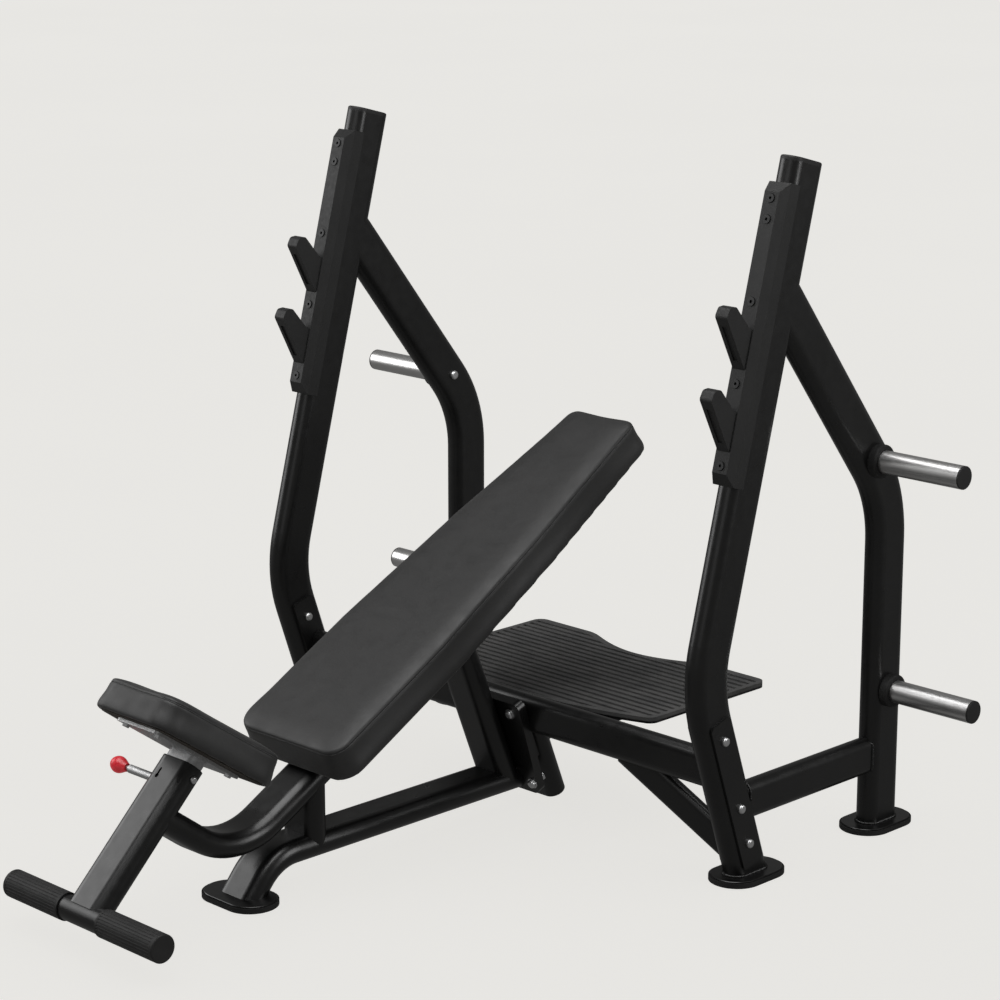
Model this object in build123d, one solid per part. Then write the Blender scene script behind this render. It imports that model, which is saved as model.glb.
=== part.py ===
from build123d import *
import os

# Olympic incline bench press. All dimensions are in millimetres.
# X runs across the bench, Y from the foot bar to the rear, Z up from the floor.
# Lengths along Y are counted from the front feet of the side frames; ORIGIN_SHIFT then moves
# the whole bench so that the origin lies under the middle of its bounding box.

ORIGIN_SHIFT = 350.25

# Tubes
TUBE_LONG = 100.0
TUBE_SHORT = 50.0
TUBE_WALL = 3.0
BEAM_HEIGHT = 80.0
BEAM_DEPTH = 40.0
BRACE_HEIGHT = 65.0
BRACE_DEPTH = 30.0

# Feet
RUBBER_BASE = 5.0
RUBBER_HEIGHT = 10.0
FOOT_LENGTH = 177.0
FOOT_WIDTH = 111.0
FOOT_RIM = 4.0
FOOT_FIT = 0.2
FOOT_TOP = 13.0

# Side frames
SIDE_X = 620.0
BEND_RADIUS = 275.0
UPRIGHT_FOOT = (SIDE_X, 9.7, -30.0)
UPRIGHT_BEND = (SIDE_X, -147.6, 424.6)
UPRIGHT_TOP = (SIDE_X, 116.0, 1428.0)
REAR_POST_Y = 421.0
REAR_POST_BEND = (SIDE_X, REAR_POST_Y, 721.0)
REAR_POST_TOP = (SIDE_X, 49.1, 1190.0)
SIDE_TUBE_Z = 163.0
LEG_BOTTOM_Y = -0.65
LEG_SLOPE = -0.346
CAP_HEIGHT = 9.0
CAP_EDGE = 4.0

# Hook guards and bar hooks, measured along the upright from the lowest guard bolt
GUARD_ORIGIN = 600.0
GUARD_HALF_WIDTH = 27.0
GUARD_FLAT_HALF = 18.0
GUARD_FRONT = 70.0
GUARD_SHOULDER = 50.0
GUARD_SIDE_BACK = 22.0
GUARD_BOTTOM = -38.0
GUARD_TOP = 555.0
GUARD_FIT = 0.2
GUARD_BOLTS = (0.0, 160.0, 320.0, 480.0, 521.0)
HOOK_STARTS = (28.0, 188.0)
HOOK_WIDTH = 30.0
HOOK_REACH = 151.0
HOOK_HEIGHT = 116.0
HOOK_TIP_RADIUS = 9.0
HOOK_GROOVE = 12.0

# Clamp plates that join the crossbeam to the side frames
CLAMP_WIDTH = 58.0
CLAMP_LOW_Z = 35.0
CLAMP_HIGH_Z = 357.0
CLAMP_OUTER = 5.0
CLAMP_INNER = 8.0
CLAMP_BOLTS_Z = (83.0, 163.0, 316.0)
BOLT_R = 6.0
BOLT_CLEAR = 0.25
DOME_R = 9.5
DOME_HEIGHT = 7.0

# Weight horns
HORN_R = 24.0
HORN_WALL = 4.0
HORN_SEAT_R = 23.0
HORN_SEAT_LENGTH = 19.0
HORN_END_X = 857.0
HORN_CAP = 4.0
HORN_CENTRES = ((421.0, 302.0), (357.0, 804.0))
COLLAR_R = 35.0
COLLAR_LENGTH = 18.0
HORN_BOLT_R = 8.0
HORN_BOLT_HEAD_R = 10.5
HORN_BASE = 34.0

# Crossbeam, braces and the bolted centre joint
BEAM_Y = -78.0
BEAM_Z = 237.0
BRACE_TOP = (360.0, BEAM_Y, 221.0)
BRACE_END_Y = -34.0
BRACE_END_Z = 75.0
LEAN = (0.0, -0.3714, 0.9285)
LEAN_OUT = (0.0, 0.9285, 0.3714)
BENCH_POST_LOW = (0.0, -68.0, 25.0)
BENCH_POST_HIGH = (0.0, -233.6, 439.0)
JOINT_CENTRE = (0.0, -118.0, 150.0)
JOINT_HEIGHT = 240.0
JOINT_TOP_HALF = 108.0
JOINT_BOTTOM_HALF = 86.0
JOINT_PLATE = 10.0
JOINT_BOLT_X = 76.0
JOINT_BOLT_RISE = 92.0
LEG_LOW = (0.0, 54.2, 22.0)
LEG_HIGH = (0.0, -31.4, 236.0)
LEG_CAP = 8.0

# Spotter platform
PLATFORM_Z = 248.0
PLATFORM_HALF = 341.0
PLATFORM_FRONT = 22.0
PLATFORM_NOSE = -42.0
PLATFORM_REAR = 390.0
CUTOUT_HALF = 190.0
CUTOUT_DEPTH = 52.0
PLATE_THICK = 5.0
MAT_BASE = 4.0
MAT_HEIGHT = 8.0
MAT_BORDER = 12.0
RIB_PITCH = 22.0
RIB_WIDTH = 12.0
ARM_X = 200.0
ARM_SIZE = 30.0
STRUT_LOW = (0.0, -5.0, 130.0)
STRUT_HIGH = (0.0, 300.0, 240.0)
STRUT_WIDTH = 60.0
STRUT_DEPTH = 30.0

# Bench frame under the pads
BASE_Z = 77.0
BASE_FOOT_Y = -808.0
BASE_TIP = (0.0, -832.0, -30.0)
BASE_BEND = (0.0, -742.0, BASE_Z)
BASE_REAR = (0.0, -20.0, BASE_Z)
BASE_BEND_RADIUS = 110.0
FRONT_POST_Y = -637.0

# Back pad, in its own sloping frame: along the pad from its lower end, and up from its top face
BACK_ORIGIN = (0.0, -697.0, 304.7)
BACK_NORMAL = (0.0, -0.4886, 0.8725)
BACK_LENGTH = 1069.0
BACK_OUTLINE = ((160.0, 0.0), (158.0, 345.0), (136.0, 690.0), (97.0, BACK_LENGTH))
BACK_THICK = 80.0
BACK_BOARD = 14.0
BACK_INSET = 14.0
PAD_FIT = 0.3
PAD_EDGE = 12.0
BACK_PLATE = 4.0
BACK_PLATES = ((130.0, 220.0), (520.0, 200.0), (900.0, 150.0))
BACK_PLATE_LENGTH = 60.0
SUPPORT_START = (0.0, -1021.0, 235.3)
SUPPORT_BEND = (0.0, -841.4, 98.8)
SUPPORT_END_ALONG = 985.0
SUPPORT_RADIUS = 165.0
SCREW_R = 4.0
SCREW_HEAD_R = 6.5
SCREW_HEAD = 5.0

# Seat, in its own sloping frame: along the seat from its front end, and up from its top face
SEAT_ORIGIN = (0.0, -1040.0, 501.0)
SEAT_NORMAL = (0.0, 0.581, 0.814)
SEAT_LENGTH = 315.0
SEAT_FRONT_HALF = 112.0
SEAT_REAR_HALF = 145.0
SEAT_THICK = 70.0
SEAT_BOARD = 12.0
SEAT_PLATE = 6.0
SEAT_PLATE_WIDTH = 130.0
SEAT_PLATE_LENGTH = 240.0
SEAT_PLATE_CENTRE = 160.0
SEAT_SCREWS_X = 48.0
SEAT_SCREWS_ALONG = (58.0, 262.0)

# Seat post and its pull pin
POST_FOOT = Vector(0.0, -1181.0, 74.0)
POST_SLOPE = 45.24
POST_LENGTH = 336.6
POST_AXIS = Vector(0, 1, 0).rotate(Axis.X, POST_SLOPE)
POST_TOP = POST_FOOT + POST_AXIS * POST_LENGTH
BUSHING_LENGTH = 80.0
BUSHING_WALL = 2.0
BUSHING_LIP = 3.0
SLIDE_CLEARANCE = 0.05
INNER_LENGTH = 250.0
HOLE_DROP = 43.0
HOLE_PITCH = 24.0
HOLE_COUNT = 6
PIN_R = 5.0
PIN_RUNNING = 0.05
PIN_HOLE_R = 5.2
PIN_TIP_X = -46.0
PIN_END_X = -170.0
FLANGE_X = -72.0
FLANGE_LENGTH = 3.0
FLANGE_R = 6.7
BARREL_R = 8.5
BARREL_END_X = -123.0
CHAMBER_R = 7.0
CHAMBER_NEAR_X = -60.0
CHAMBER_FAR_X = -112.0
SPRING_WIRE_R = 0.6
SPRING_R = 6.1
SPRING_TURNS = 8
KNOB_NECK_X = -132.0
KNOB_END_X = -178.0
KNOB_R = 17.0
KNOB_NECK_R = 8.0
SET_SCREW_DROP = 20.0

# Foot bar
BAR_R = 25.0
GRIP_R = 28.0
GRIP_START = 59.0
GRIP_END = 230.0
GRIP_CLOSED = 4.0
FLUTES = 28
FLUTE_R = 1.4

# Large enough to reach past the bench when it is used as a cutting block
BEYOND = 3000.0


def along(start, direction, distance):
    """Point at a distance from a start point along a unit direction."""
    return Vector(*start) + Vector(*direction) * distance


def oval(long_side, short_side, wall=0.0):
    """Flat-oval section with its long side along local X; a wall makes it hollow."""
    section = SlotOverall(long_side, short_side)
    if wall > 0.0:
        section -= SlotOverall(long_side - 2 * wall, short_side - 2 * wall)
    return section


def straight_tube(start, end, long_way, long_side, short_side, wall=0.0):
    """Flat-oval tube from one point to another."""
    run = Vector(*end) - Vector(*start)
    plane = Plane(origin=Vector(*start), x_dir=long_way, z_dir=run)
    return extrude(plane * oval(long_side, short_side, wall), run.length)


def bent_solid(points, radius, long_way, long_side, short_side):
    """Solid flat-oval bar along a path with one rounded corner."""
    path = FilletPolyline(*points, radius=radius)
    run = Vector(*points[1]) - Vector(*points[0])
    plane = Plane(origin=Vector(*points[0]), x_dir=long_way, z_dir=run)
    return sweep(plane * SlotOverall(long_side, short_side), path=path)


def bent_tube(points, radius, long_way, long_side, short_side, wall):
    """Hollow flat-oval tube along a path with one rounded corner."""
    outer = bent_solid(points, radius, long_way, long_side, short_side)
    inner = bent_solid(points, radius, long_way, long_side - 2 * wall, short_side - 2 * wall)
    return outer - inner


def rod(start, direction, length, radius):
    """Round rod from a start point along a direction."""
    plane = Plane(origin=Vector(*start), z_dir=Vector(*direction))
    return extrude(plane * Circle(radius), length)


def above(height):
    """Block that holds everything above a height."""
    return Pos(0, 0, height + BEYOND / 2) * Box(2 * BEYOND, 2 * BEYOND, BEYOND)


def dome_head(centre, direction, radius, height):
    """Domed bolt head that stands on a face."""
    plane = Plane(origin=Vector(*centre), z_dir=Vector(*direction))
    head = extrude(plane * Circle(radius), height)
    top = head.edges().sort_by(Axis(Vector(*centre), Vector(*direction)))[-1]
    return fillet(top, height * 0.6)


def hex_head(centre, direction, across_flats, height):
    """Hexagon head that stands on a face."""
    plane = Plane(origin=Vector(*centre), z_dir=Vector(*direction))
    return extrude(plane * RegularPolygon(across_flats / 2, 6, major_radius=False), height)


def leg_y(height):
    """Y of the lower leg's centre line at a height."""
    return LEG_BOTTOM_Y + LEG_SLOPE * height


# Side frames, drawn on the right and mirrored to the left


def upright_solid():
    points = (UPRIGHT_FOOT, UPRIGHT_BEND, UPRIGHT_TOP)
    return bent_solid(points, BEND_RADIUS, (0, 1, 0), TUBE_LONG, TUBE_SHORT)


def rear_post_solid():
    points = ((SIDE_X, REAR_POST_Y, -30.0), REAR_POST_BEND, REAR_POST_TOP)
    return bent_solid(points, BEND_RADIUS, (0, 1, 0), TUBE_LONG, TUBE_SHORT)


def upright_axis():
    return (Vector(*UPRIGHT_TOP) - Vector(*UPRIGHT_BEND)).normalized()


def guard_plane():
    """Local Z runs up the upright and local -Y points out of its front."""
    axis = upright_axis()
    origin = Vector(*UPRIGHT_TOP) - axis * GUARD_ORIGIN
    return Plane(origin=origin, x_dir=(1, 0, 0), z_dir=axis)


def guard_profile_plane():
    """Local X points out of the upright's front and local Y runs up it."""
    frame = guard_plane()
    return Plane(origin=frame.origin, x_dir=-frame.y_dir, z_dir=(-1, 0, 0))


def guard_bolt_holes(radius):
    frame = guard_plane()
    holes = []
    for height in GUARD_BOLTS:
        holes.append(frame * Pos(0, -55, height) * Rot(90, 0, 0) * Cylinder(radius, 40))
    return holes


def clamp_bolt_holes():
    holes = []
    for height in CLAMP_BOLTS_Z:
        centre = Pos(SIDE_X, leg_y(height), height)
        holes.append(centre * Rot(0, 90, 0) * Cylinder(BOLT_R + BOLT_CLEAR, 90))
    return holes


def horn_bolt_holes():
    holes = []
    for y, z in HORN_CENTRES:
        holes.append(Pos(SIDE_X, y, z) * Rot(0, 90, 0) * Cylinder(HORN_BOLT_R + BOLT_CLEAR, 80))
    return holes


def upright():
    points = (UPRIGHT_FOOT, UPRIGHT_BEND, UPRIGHT_TOP)
    tube = bent_tube(points, BEND_RADIUS, (0, 1, 0), TUBE_LONG, TUBE_SHORT, TUBE_WALL)
    tube = tube & above(FOOT_TOP)
    return tube - guard_bolt_holes(SCREW_R + BOLT_CLEAR) - clamp_bolt_holes()


def upright_cap():
    axis = upright_axis()
    plane = Plane(origin=Vector(*UPRIGHT_TOP), x_dir=(0, 1, 0), z_dir=axis)
    lid = extrude(plane * oval(TUBE_LONG, TUBE_SHORT), CAP_HEIGHT)
    rim = lid.faces().sort_by(Axis(Vector(*UPRIGHT_TOP), axis))[-1]
    lid = fillet(rim.edges(), CAP_EDGE)
    inside = oval(TUBE_LONG - 2 * TUBE_WALL, TUBE_SHORT - 2 * TUBE_WALL)
    return lid + extrude(plane * inside, -20.0)


def rear_post():
    points = ((SIDE_X, REAR_POST_Y, -30.0), REAR_POST_BEND, REAR_POST_TOP)
    tube = bent_tube(points, BEND_RADIUS, (0, 1, 0), TUBE_LONG, TUBE_SHORT, TUBE_WALL)
    return (tube & above(FOOT_TOP)) - upright_solid() - horn_bolt_holes()


def side_tube():
    start = (SIDE_X, leg_y(SIDE_TUBE_Z), SIDE_TUBE_Z)
    end = (SIDE_X, REAR_POST_Y, SIDE_TUBE_Z)
    tube = straight_tube(start, end, (0, 0, 1), BEAM_HEIGHT, BEAM_DEPTH, TUBE_WALL)
    return tube - upright_solid() - rear_post_solid()


def hook_guard():
    frame = guard_plane()
    section = Polyline(
        (-GUARD_HALF_WIDTH, -GUARD_SIDE_BACK),
        (-GUARD_HALF_WIDTH, -GUARD_SHOULDER),
        (-GUARD_FLAT_HALF, -GUARD_FRONT),
        (GUARD_FLAT_HALF, -GUARD_FRONT),
        (GUARD_HALF_WIDTH, -GUARD_SHOULDER),
        (GUARD_HALF_WIDTH, -GUARD_SIDE_BACK),
        close=True,
    )
    bar = extrude(frame.offset(GUARD_BOTTOM) * make_face(section), GUARD_TOP - GUARD_BOTTOM)
    profile = Polyline(
        (GUARD_SIDE_BACK, GUARD_BOTTOM),
        (GUARD_SHOULDER, GUARD_BOTTOM),
        (GUARD_FRONT, GUARD_BOTTOM + 23.0),
        (GUARD_FRONT, GUARD_TOP - 21.0),
        (GUARD_SHOULDER, GUARD_TOP),
        (GUARD_SIDE_BACK, GUARD_TOP),
        close=True,
    )
    side = guard_profile_plane() * make_face(profile)
    bar = bar & extrude(side, GUARD_HALF_WIDTH, both=True)
    room = oval(TUBE_LONG + 2 * GUARD_FIT, TUBE_SHORT + 2 * GUARD_FIT)
    tube = frame.offset(GUARD_BOTTOM - 5.0) * Rot(0, 0, 90) * room
    bar = bar - extrude(tube, GUARD_TOP - GUARD_BOTTOM + 10.0)
    counterbores = []
    for height in GUARD_BOLTS:
        sink = frame * Pos(0, -GUARD_FRONT, height) * Rot(90, 0, 0)
        counterbores.append(sink * Cylinder(SCREW_HEAD_R + 2.8, 6.0))
    return bar - guard_bolt_holes(SCREW_R + BOLT_CLEAR) - counterbores


def bar_hook(start):
    """Fin whose upper side and the guard's front form the notch that holds the bar."""
    outline = Polyline(
        (GUARD_FRONT, start),
        (HOOK_REACH, start + 91.0),
        (HOOK_REACH - 5.0, start + 110.0),
        (HOOK_REACH - 22.0, start + HOOK_HEIGHT),
        (GUARD_FRONT + 8.0, start + 80.0),
        (GUARD_FRONT, start + 79.0),
        close=True,
    )
    plane = guard_profile_plane()
    fin = extrude(plane * make_face(outline), HOOK_WIDTH / 2, both=True)
    tip_edges = fin.edges().filter_by(Axis.X)
    tip_edges = tip_edges.sort_by(Axis((0, 0, 0), plane.x_dir))[-3:]
    fin = fillet(tip_edges, HOOK_TIP_RADIUS)
    groove_line = Line((GUARD_FRONT + 14.0, start + 16.0), (HOOK_REACH - 16.0, start + 73.0))
    middle = plane.from_local_coords(groove_line @ 0.5)
    slope = (plane * groove_line) % 0.5
    groove = Plane(origin=middle, x_dir=slope, z_dir=(1, 0, 0)) * Rectangle(80.0, 6.0)
    return fin - extrude(groove, HOOK_GROOVE / 2, both=True)


def bar_hooks():
    return [bar_hook(start) for start in HOOK_STARTS]


def guard_bolts():
    """Socket screws that hold the guard to the upright's front."""
    frame = guard_plane()
    bolts = []
    for height in GUARD_BOLTS:
        seat = frame * Pos(0, -GUARD_FRONT + 0.5, height) * Rot(90, 0, 0)
        head = seat * Cylinder(SCREW_HEAD_R + 2.2, 5.0)
        socket = frame * Pos(0, -GUARD_FRONT - 1.0, height) * Rot(90, 0, 0)
        hexagon = extrude(socket * RegularPolygon(3.4, 6), 4.0, both=True)
        shank = frame * Pos(0, -GUARD_FRONT + 17.5, height) * Rot(90, 0, 0) * Cylinder(SCREW_R, 29.0)
        bolts.append(head - hexagon + shank)
    return bolts


def foot_outline(inset, turned):
    outline = SlotOverall(FOOT_LENGTH - 2 * inset, FOOT_WIDTH - 2 * inset)
    return Rot(0, 0, 90 if turned else 0) * outline


def foot_plate(x, y, turned):
    """Steel foot that sits in its rubber shoe."""
    plate = extrude(foot_outline(FOOT_RIM + FOOT_FIT, turned), FOOT_TOP - RUBBER_BASE)
    top = plate.faces().sort_by(Axis.Z)[-1]
    return Pos(x, y, RUBBER_BASE) * chamfer(top.edges(), 1.0)


def foot_rubber(x, y, turned):
    """Rubber shoe with a raised rim around the steel foot."""
    shoe = extrude(foot_outline(0.0, turned), RUBBER_HEIGHT)
    pocket = extrude(foot_outline(FOOT_RIM, turned), RUBBER_HEIGHT)
    return Pos(x, y, 0) * (shoe - Pos(0, 0, RUBBER_BASE) * pocket)


def side_foot_plates():
    return [foot_plate(SIDE_X, 0.0, True), foot_plate(SIDE_X, REAR_POST_Y, True)]


def side_foot_rubbers():
    return [foot_rubber(SIDE_X, 0.0, True), foot_rubber(SIDE_X, REAR_POST_Y, True)]


def clamp_plate(x, thickness):
    """Plate on the flat side of the lower leg."""
    low = Vector(x, leg_y(CLAMP_LOW_Z), CLAMP_LOW_Z)
    high = Vector(x, leg_y(CLAMP_HIGH_Z), CLAMP_HIGH_Z)
    run = high - low
    plane = Plane(origin=(low + high) * 0.5, x_dir=run, z_dir=(1, 0, 0))
    return extrude(plane * RectangleRounded(run.length, CLAMP_WIDTH, 10.0), thickness)


def clamp_plates():
    half = TUBE_SHORT / 2
    outer = clamp_plate(SIDE_X + half, CLAMP_OUTER)
    inner = clamp_plate(SIDE_X - half, -CLAMP_INNER)
    return [outer - clamp_bolt_holes(), inner - clamp_bolt_holes()]


def clamp_bolts():
    """Bolts through each lower leg; the lowest one ends in the inner plate, behind the brace."""
    outside = SIDE_X + TUBE_SHORT / 2 + CLAMP_OUTER
    inside = SIDE_X - TUBE_SHORT / 2 - CLAMP_INNER
    bolts = []
    for height in CLAMP_BOLTS_Z:
        y = leg_y(height)
        bolt = rod((inside, y, height), (1, 0, 0), outside - inside, BOLT_R)
        bolt += dome_head((outside, y, height), (1, 0, 0), DOME_R, DOME_HEIGHT)
        if height > CLAMP_BOLTS_Z[0]:
            bolt += dome_head((inside, y, height), (-1, 0, 0), DOME_R, DOME_HEIGHT)
        bolts.append(bolt)
    return bolts


def horn(y, z):
    """Chromed tube with a solid threaded base."""
    start = SIDE_X + TUBE_SHORT / 2
    length = HORN_END_X - start
    tube = rod((start, y, z), (1, 0, 0), HORN_SEAT_LENGTH, HORN_SEAT_R)
    shoulder = start + HORN_SEAT_LENGTH
    tube += rod((shoulder, y, z), (1, 0, 0), HORN_END_X - shoulder, HORN_R)
    tube -= rod((start + HORN_BASE, y, z), (1, 0, 0), length, HORN_R - HORN_WALL)
    return tube - rod((start, y, z), (1, 0, 0), HORN_BASE, HORN_BOLT_R + BOLT_CLEAR)


def horn_collar(y, z):
    start = SIDE_X + TUBE_SHORT / 2
    ring = rod((start, y, z), (1, 0, 0), COLLAR_LENGTH, COLLAR_R)
    face = ring.faces().sort_by(Axis.X)[-1]
    ring = fillet(face.edges(), 4.0)
    return ring - rod((start, y, z), (1, 0, 0), COLLAR_LENGTH, HORN_SEAT_R + FOOT_FIT)


def horn_cap(y, z):
    lid = rod((HORN_END_X, y, z), (1, 0, 0), HORN_CAP, HORN_R)
    lid = fillet(lid.faces().sort_by(Axis.X)[-1].edges(), 1.5)
    return lid + rod((HORN_END_X, y, z), (-1, 0, 0), 15.0, HORN_R - HORN_WALL)


def horn_bolt(y, z):
    start = SIDE_X - TUBE_SHORT / 2
    shank = rod((start, y, z), (1, 0, 0), TUBE_SHORT + HORN_BASE - 4.0, HORN_BOLT_R)
    return shank + dome_head((start, y, z), (-1, 0, 0), HORN_BOLT_HEAD_R, DOME_HEIGHT)


def both_sides(shapes):
    """The right-hand shapes and their mirror images."""
    return list(shapes) + [mirror(shape, about=Plane.YZ) for shape in shapes]


# Crossbeam, braces and centre joint


def beam_solid():
    end = SIDE_X - TUBE_SHORT / 2 - CLAMP_INNER
    return straight_tube((-end, BEAM_Y, BEAM_Z), (end, BEAM_Y, BEAM_Z), (0, 0, 1), BEAM_HEIGHT, BEAM_DEPTH)


def crossbeam():
    end = SIDE_X - TUBE_SHORT / 2 - CLAMP_INNER
    start = (-end, BEAM_Y, BEAM_Z)
    return straight_tube(start, (end, BEAM_Y, BEAM_Z), (0, 0, 1), BEAM_HEIGHT, BEAM_DEPTH, TUBE_WALL)


def brace():
    """Diagonal from the underside of the crossbeam to the inner clamp plate."""
    face = SIDE_X - TUBE_SHORT / 2 - CLAMP_INNER
    end = Vector(face, BRACE_END_Y, BRACE_END_Z)
    run = end - Vector(*BRACE_TOP)
    upright_way = run.cross(Vector(0, 1, 0))
    far_end = end + run.normalized() * 60.0
    tube = straight_tube(BRACE_TOP, tuple(far_end), upright_way, BRACE_HEIGHT, BRACE_DEPTH, TUBE_WALL)
    keep = Pos(face - BEYOND / 2, 0, 0) * Box(BEYOND, BEYOND, BEYOND)
    below_beam = Pos(0, 0, BEAM_Z - BEYOND / 2) * Box(BEYOND, BEYOND, BEYOND)
    return (tube & keep & below_beam) - beam_solid()


def joint_plane(distance):
    """Plane parallel to the joint plates; local X is across and local Y runs up them."""
    origin = along(JOINT_CENTRE, LEAN_OUT, distance)
    return Plane(origin=origin, x_dir=(1, 0, 0), z_dir=Vector(0, -LEAN_OUT[1], -LEAN_OUT[2]))


def joint_outline():
    half = JOINT_HEIGHT / 2
    sketch = Polyline(
        (-JOINT_BOTTOM_HALF, -half),
        (JOINT_BOTTOM_HALF, -half),
        (JOINT_TOP_HALF, half),
        (-JOINT_TOP_HALF, half),
        close=True,
    )
    face = make_face(sketch)
    return fillet(face.vertices(), 16.0)


def joint_bolt_places():
    places = []
    for side in (-1, 1):
        for rise in (-JOINT_BOLT_RISE, JOINT_BOLT_RISE):
            places.append((side * JOINT_BOLT_X, rise))
    return places


def joint_holes():
    holes = []
    for x, rise in joint_bolt_places():
        place = joint_plane(TUBE_SHORT / 2 + JOINT_PLATE) * Pos(x, rise, 0)
        holes.append(place * Cylinder(BOLT_R + BOLT_CLEAR, 80))
    return holes


def bench_mount_plate():
    front = joint_plane(TUBE_SHORT / 2 + JOINT_PLATE)
    return extrude(front * joint_outline(), JOINT_PLATE) - joint_holes()


def beam_mount():
    """Plate behind the bench plate, with the box that ties it to the centre leg."""
    back = joint_plane(TUBE_SHORT / 2 + 2 * JOINT_PLATE)
    plate = extrude(back * joint_outline(), JOINT_PLATE) - joint_holes()
    wall = Rectangle(80.0, 90.0) - Rectangle(72.0, 82.0)
    box = extrude(back * Pos(0, -30.0, 0) * wall, -70.0)
    return (plate + box) - beam_solid() - leg_solid() - leg_rear_space()


def mount_bolts():
    bolts = []
    front = Vector(0, -LEAN_OUT[1], -LEAN_OUT[2])
    for x, rise in joint_bolt_places():
        back_face = joint_plane(TUBE_SHORT / 2 + 2 * JOINT_PLATE) * Pos(x, rise, 0)
        front_face = joint_plane(TUBE_SHORT / 2) * Pos(x, rise, 0)
        bolt = rod(back_face.position, front, 2 * JOINT_PLATE, BOLT_R)
        bolt += rod(front_face.position, front, 2.5, 12.0)
        bolt += dome_head(tuple(front_face.position + front * 2.5), front, DOME_R, DOME_HEIGHT)
        if rise < 0:
            bolt += hex_head(back_face.position, LEAN_OUT, 18.0, 9.0)
        bolts.append(bolt)
    return bolts


def leg_solid():
    return straight_tube(LEG_LOW, LEG_HIGH, (1, 0, 0), TUBE_LONG, TUBE_SHORT)


def leg_rear_space():
    """Everything behind the centre leg's middle plane."""
    plane = Plane(origin=Vector(*LEG_LOW), x_dir=(1, 0, 0), z_dir=LEAN_OUT)
    return extrude(plane * Rectangle(400.0, 1200.0), 400.0)


def centre_leg():
    """Short leaning leg behind the crossbeam, closed by a rounded cap just above the floor."""
    tube = straight_tube(LEG_LOW, LEG_HIGH, (1, 0, 0), TUBE_LONG, TUBE_SHORT, TUBE_WALL)
    plane = Plane(origin=Vector(*LEG_LOW), x_dir=(1, 0, 0), z_dir=LEAN)
    cap = extrude(plane * oval(TUBE_LONG, TUBE_SHORT), -LEG_CAP)
    rim = cap.faces().sort_by(Axis(Vector(*LEG_LOW), LEAN))[0]
    cap = fillet(rim.edges(), CAP_EDGE)
    return (tube + cap) - beam_solid()


# Spotter platform


def platform_outline(inset=0.0):
    """Straight sides, a nosed front edge and a curved cut-out in the rear edge."""
    half = PLATFORM_HALF - inset
    front = PLATFORM_FRONT + inset
    rear = PLATFORM_REAR - inset
    dip = rear - CUTOUT_DEPTH
    nose = ThreePointArc((-half, front), (0, PLATFORM_NOSE + inset), (half, front))
    right = Line((half, front), (half, rear))
    right_rear = Line((half, rear), (CUTOUT_HALF + inset, rear))
    cutout = Spline(
        (CUTOUT_HALF + inset, rear),
        (CUTOUT_HALF - 60.0 + inset, rear - 18.0),
        (0, dip),
        (-CUTOUT_HALF + 60.0 - inset, rear - 18.0),
        (-CUTOUT_HALF - inset, rear),
        tangents=((-1, 0), (-1, 0)),
    )
    left_rear = Line((-CUTOUT_HALF - inset, rear), (-half, rear))
    left = Line((-half, rear), (-half, front))
    face = make_face([nose, right, right_rear, cutout, left_rear, left])
    corners = [v for v in face.vertices() if abs(abs(v.X) - half) < 0.01]
    return fillet(corners, 24.0 - inset)


def platform_plate():
    return Pos(0, 0, PLATFORM_Z) * extrude(platform_outline(), PLATE_THICK)


def platform_mat():
    """Rubber mat with a flat border and ribs that run across the bench."""
    base = extrude(platform_outline(), MAT_BASE)
    inner = platform_outline(MAT_BORDER)
    border = extrude(platform_outline() - inner, MAT_HEIGHT)
    count = int((PLATFORM_REAR - PLATFORM_NOSE) / RIB_PITCH)
    field = platform_outline(MAT_BORDER - 1.0)
    slab = base + border
    for index in range(count):
        y = PLATFORM_NOSE + RIB_PITCH * (index + 1)
        strip = field & (Pos(0, y) * Rectangle(2 * PLATFORM_HALF, RIB_WIDTH))
        slab += extrude(strip, MAT_HEIGHT)
    return Pos(0, 0, PLATFORM_Z + PLATE_THICK) * slab


def platform_arms():
    """Two square tubes that carry the platform behind the crossbeam."""
    start = BEAM_Y + BEAM_DEPTH / 2
    length = PLATFORM_REAR - 60.0 - start
    section = Rectangle(ARM_SIZE, ARM_SIZE) - Rectangle(ARM_SIZE - 5.0, ARM_SIZE - 5.0)
    arms = []
    for side in (-1, 1):
        origin = (side * ARM_X, start, PLATFORM_Z - ARM_SIZE / 2)
        plane = Plane(origin=origin, x_dir=(1, 0, 0), z_dir=(0, 1, 0))
        arms.append(extrude(plane * section, length))
    return arms


def centre_strut():
    """Sloping strut from the centre leg to the underside of the platform."""
    strut = straight_tube(STRUT_LOW, STRUT_HIGH, (1, 0, 0), STRUT_WIDTH, STRUT_DEPTH, TUBE_WALL)
    below = Pos(0, 0, PLATFORM_Z - BEYOND / 2) * Box(BEYOND, BEYOND, BEYOND)
    return (strut & below) - leg_solid()


# Bench frame


def post_axis_point(distance):
    return tuple(along(POST_TOP, POST_AXIS, distance))


def post_start():
    """Point inside the foot bar, off its centre line."""
    return along(POST_FOOT, POST_AXIS, 8.0)


def base_solid():
    return bent_solid((BASE_TIP, BASE_BEND, BASE_REAR), BASE_BEND_RADIUS, (1, 0, 0), TUBE_LONG, TUBE_SHORT)


def support_points():
    plane = Plane(origin=Vector(*BACK_ORIGIN), x_dir=(1, 0, 0), z_dir=BACK_NORMAL)
    depth = BACK_THICK + BACK_PLATE + TUBE_SHORT / 2
    end = plane.from_local_coords(Vector(0, SUPPORT_END_ALONG, -depth))
    return SUPPORT_START, SUPPORT_BEND, tuple(end)


def support_solid():
    return bent_solid(support_points(), SUPPORT_RADIUS, (1, 0, 0), TUBE_LONG, TUBE_SHORT)


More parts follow.
